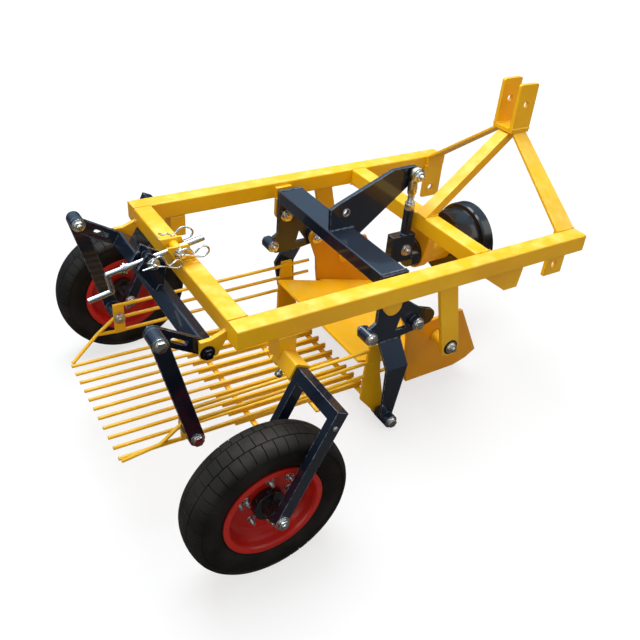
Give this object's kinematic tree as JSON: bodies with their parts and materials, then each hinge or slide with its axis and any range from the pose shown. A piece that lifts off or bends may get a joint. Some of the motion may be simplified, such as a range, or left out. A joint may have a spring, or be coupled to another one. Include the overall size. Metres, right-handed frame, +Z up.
{
  "type": "potato harvester",
  "caption": "Small tractor-mounted potato digger: a square-tube frame on land wheels carries a share and a shaking rod sieve driven by a crank shaft.",
  "frame": {"origin": "centre of the bounding box in plan, on the ground the wheels stand on", "axes": "+X forward, toward the tractor; +Y to the machine's left; +Z up"},
  "size_m": [1.4112, 1.158, 0.7772],
  "materials": {
    "yellow_paint": "gloss",
    "dark_paint": "gloss",
    "red_paint": "gloss",
    "black_paint": "semi-gloss",
    "bright_steel": "turned",
    "rubber_tread": "matt"
  },
  "bodies": {
    "frame": {"rear_crossbar": "yellow_paint", "front_crossbar": "yellow_paint", "top_link_clevis": "yellow_paint", "centre_brace": "yellow_paint", "bearing_mount": "yellow_paint", "shaft_guard": "black_paint", "tilt_frame": "dark_paint", "adjusting_screw": "bright_steel", "screw_bracket": "yellow_paint", "side_rail_right": "yellow_paint", "side_rail_left": "yellow_paint", "hitch_stay_right": "yellow_paint", "hitch_stay_left": "yellow_paint", "lower_link_plate_right": "yellow_paint", "lower_link_plate_left": "yellow_paint", "rail_gusset_right": "yellow_paint", "rail_gusset_left": "yellow_paint", "rocker_lug_right": "yellow_paint", "rocker_lug_left": "yellow_paint", "share_leg_right": "yellow_paint", "share_leg_left": "yellow_paint", "rear_lug_right": "yellow_paint", "rear_lug_left": "yellow_paint", "wheel_sleeve_right": "yellow_paint", "wheel_sleeve_left": "yellow_paint", "wheel_fork_right": "dark_paint", "wheel_fork_left": "dark_paint"},
    "wheel_right": {"tyre_right": "rubber_tread", "rim_right": "red_paint", "hub_right": "black_paint"},
    "wheel_left": {"tyre_left": "rubber_tread", "rim_left": "red_paint", "hub_left": "black_paint"},
    "drive_shaft": {"input_shaft": "bright_steel"},
    "rocker": {"rocker_tube": "dark_paint", "rocker_lever": "dark_paint", "rocker_plate_right": "dark_paint", "rocker_plate_left": "dark_paint", "hanger_arm_right": "dark_paint", "hanger_arm_left": "dark_paint"},
    "connecting_rod": {"pitman": "dark_paint", "rod_end": "bright_steel"},
    "sieve": {"sieve_grid": "yellow_paint", "sieve_side_right": "yellow_paint", "sieve_side_left": "yellow_paint"},
    "link_right": {"rear_link_right": "dark_paint"},
    "link_left": {"rear_link_left": "dark_paint"},
    "share": {"share_blade": "yellow_paint", "share_side_right": "yellow_paint", "share_side_left": "yellow_paint"}
  },
  "joints": [
    {"name": "wheel_spin_right", "type": "hinge", "parent": "frame", "child": "wheel_right", "pos_m": [-0.46199, -0.49, 0.2], "axis": [0, 1, 0], "continuous": true},
    {"name": "wheel_spin_left", "type": "hinge", "parent": "frame", "child": "wheel_left", "pos_m": [-0.46199, 0.49, 0.2], "axis": [0, 1, 0], "continuous": true},
    {"name": "shaft_spin", "type": "hinge", "parent": "frame", "child": "drive_shaft", "pos_m": [0.34953, 0, 0.32216], "axis": [0.9933, 0, -0.1154], "continuous": true},
    {"name": "rocker_swing", "type": "hinge", "parent": "frame", "child": "rocker", "pos_m": [0.02721, 0, 0.41598], "axis": [0, 1, 0], "range_deg": [-2.6, 2.6]},
    {"name": "connecting_rod_swing", "type": "hinge", "parent": "rocker", "child": "connecting_rod", "pos_m": [0.29095, -0.029, 0.59776], "axis": [0, 1, 0], "range_deg": [-0.57, 0.57]},
    {"name": "sieve_swing", "type": "hinge", "parent": "rocker", "child": "sieve", "pos_m": [0.02147, 0, 0.02], "axis": [0, 1, 0], "range_deg": [-2.91, 2.91]},
    {"name": "link_swing_right", "type": "hinge", "parent": "frame", "child": "link_right", "pos_m": [-0.57914, -0.306, 0.57805], "axis": [0, 1, 0], "range_deg": [-3.64, 3.64]},
    {"name": "link_swing_left", "type": "hinge", "parent": "frame", "child": "link_left", "pos_m": [-0.57914, 0.306, 0.57805], "axis": [0, 1, 0], "range_deg": [-3.64, 3.64]},
    {"name": "share_swing", "type": "hinge", "parent": "frame", "child": "share", "pos_m": [0.21579, 0, 0.21085], "axis": [0, 1, 0], "range_deg": [-2.43, 2.43]}
  ],
  "couplings": [
    {"joint": "connecting_rod_swing", "follows": "rocker_swing", "ratio": -0.2097},
    {"joint": "sieve_swing", "follows": "rocker_swing", "ratio": -1.1098},
    {"joint": "link_swing_right", "follows": "rocker_swing", "ratio": 1.391},
    {"joint": "link_swing_left", "follows": "rocker_swing", "ratio": 1.391},
    {"joint": "share_swing", "follows": "rocker_swing", "ratio": -0.9272}
  ]
}
